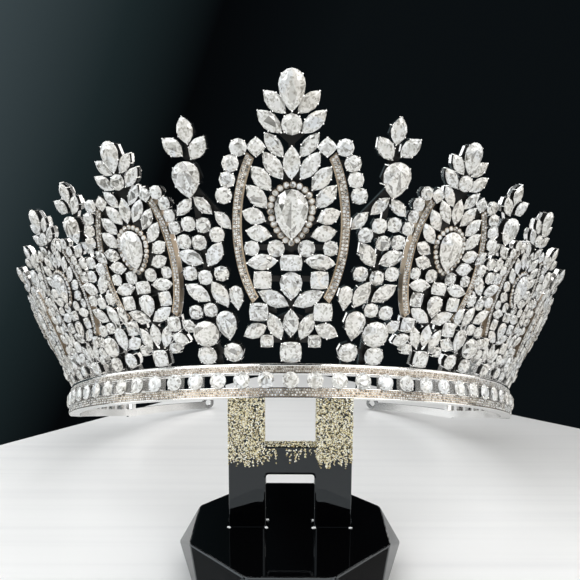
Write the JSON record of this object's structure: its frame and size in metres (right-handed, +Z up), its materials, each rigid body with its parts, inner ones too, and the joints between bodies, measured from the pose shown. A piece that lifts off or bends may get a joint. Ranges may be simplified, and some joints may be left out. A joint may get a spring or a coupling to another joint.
{
  "type": "bridal crown on a display stand",
  "caption": "Open-backed bridal crown of pierced silver-coloured metal set with clear cut stones, resting on a plain black display stand.",
  "frame": {"origin": "on the floor, under the middle of the whole outline", "axes": "+X to the viewer's right, -Y towards the viewer and the front of the crown, +Z up"},
  "size_m": [0.182, 0.159, 0.1273],
  "materials": {
    "crown_metal": "bright rhodium plate over cast alloy, polished",
    "clear_stone": "clear cut stone with polished facets",
    "stand_acrylic": "glossy black acrylic with polished edges",
    "glitter": "coarse pale gold and silver glitter flakes"
  },
  "bodies": {
    "root": {"crown_frame": "crown_metal", "band_stones": "clear_stone", "upper_spray_centre": "clear_stone", "lower_spray_centre": "clear_stone", "medallion_spray_left": "clear_stone", "medallion_spray_right": "clear_stone", "finial_spray_left": "clear_stone", "finial_spray_right": "clear_stone", "band_cushion_centre": "clear_stone", "lower_pear_centre": "clear_stone", "middle_pear_centre": "clear_stone", "apex_pear_centre": "clear_stone", "lower_pear_left_1": "clear_stone", "middle_pear_left_1": "clear_stone", "apex_pear_left_1": "clear_stone", "lower_pear_left_2": "clear_stone", "middle_pear_left_2": "clear_stone", "apex_pear_left_2": "clear_stone", "lower_pear_left_3": "clear_stone", "middle_pear_left_3": "clear_stone", "apex_pear_left_3": "clear_stone", "lower_pear_left_4": "clear_stone", "middle_pear_left_4": "clear_stone", "apex_pear_left_4": "clear_stone", "lower_pear_right_1": "clear_stone", "middle_pear_right_1": "clear_stone", "apex_pear_right_1": "clear_stone", "lower_pear_right_2": "clear_stone", "middle_pear_right_2": "clear_stone", "apex_pear_right_2": "clear_stone", "lower_pear_right_3": "clear_stone", "middle_pear_right_3": "clear_stone", "apex_pear_right_3": "clear_stone", "lower_pear_right_4": "clear_stone", "middle_pear_right_4": "clear_stone", "apex_pear_right_4": "clear_stone", "foot_pear_left_1": "clear_stone", "finial_pear_left_1": "clear_stone", "foot_pear_left_2": "clear_stone", "finial_pear_left_2": "clear_stone", "foot_pear_left_3": "clear_stone", "finial_pear_left_3": "clear_stone", "foot_pear_left_4": "clear_stone", "finial_pear_left_4": "clear_stone", "foot_pear_right_1": "clear_stone", "finial_pear_right_1": "clear_stone", "foot_pear_right_2": "clear_stone", "finial_pear_right_2": "clear_stone", "foot_pear_right_3": "clear_stone", "finial_pear_right_3": "clear_stone", "foot_pear_right_4": "clear_stone", "finial_pear_right_4": "clear_stone", "stand_upright": "stand_acrylic", "stand_base": "stand_acrylic"}
  },
  "joints": []
}
